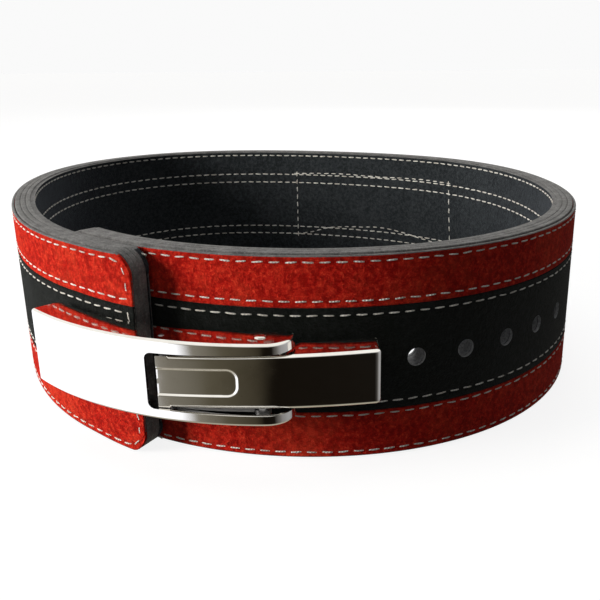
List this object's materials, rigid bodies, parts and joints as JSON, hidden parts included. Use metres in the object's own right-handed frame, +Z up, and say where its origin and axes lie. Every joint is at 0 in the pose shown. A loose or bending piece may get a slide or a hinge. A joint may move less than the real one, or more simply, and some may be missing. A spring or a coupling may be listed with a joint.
{
  "type": "weightlifting belt",
  "caption": "Thick leather weightlifting belt in red and black suede, closed round with a polished lever buckle and standing on its edge.",
  "frame": {"origin": "middle of the footprint, on the surface that the belt stands on", "axes": "+Z up across the strap's width, the buckle faces -Y, +X to the viewer's right"},
  "size_m": [0.3726, 0.402, 0.1],
  "materials": {
    "edge_leather": "grey-black dyed cut edge showing four plies, rounded and burnished",
    "red_suede": "bright red suede with a short mottled nap",
    "black_suede": "black suede with a short nap",
    "polished_chrome": "mirror polished with fine wear",
    "plated_steel": "plain plated steel"
  },
  "bodies": {
    "strap": {"leather_core": "edge_leather", "upper_red_band": "red_suede", "centre_black_band": "black_suede", "lower_red_band": "red_suede", "inner_lining": "black_suede", "base_plate": "plated_steel", "base_screw_1": "plated_steel", "base_screw_2": "plated_steel", "pivot_rivet_upper": "polished_chrome", "pivot_rivet_lower": "polished_chrome"},
    "lever": {"lever": "polished_chrome", "link_pin": "plated_steel"},
    "hook": {"hook_plate": "polished_chrome"}
  },
  "joints": [
    {"name": "lever_pivot", "type": "hinge", "parent": "strap", "child": "lever", "pos_m": [0.00474, -0.19196, 0.049], "axis": [0, 0, 1], "range_deg": [0, 110]},
    {"name": "hook_pivot", "type": "hinge", "parent": "lever", "child": "hook", "pos_m": [-0.03735, -0.19082, 0.049], "axis": [0, 0, 1], "range_deg": [-110, 0]}
  ],
  "couplings": [
    {"joint": "hook_pivot", "follows": "lever_pivot", "ratio": -1}
  ]
}
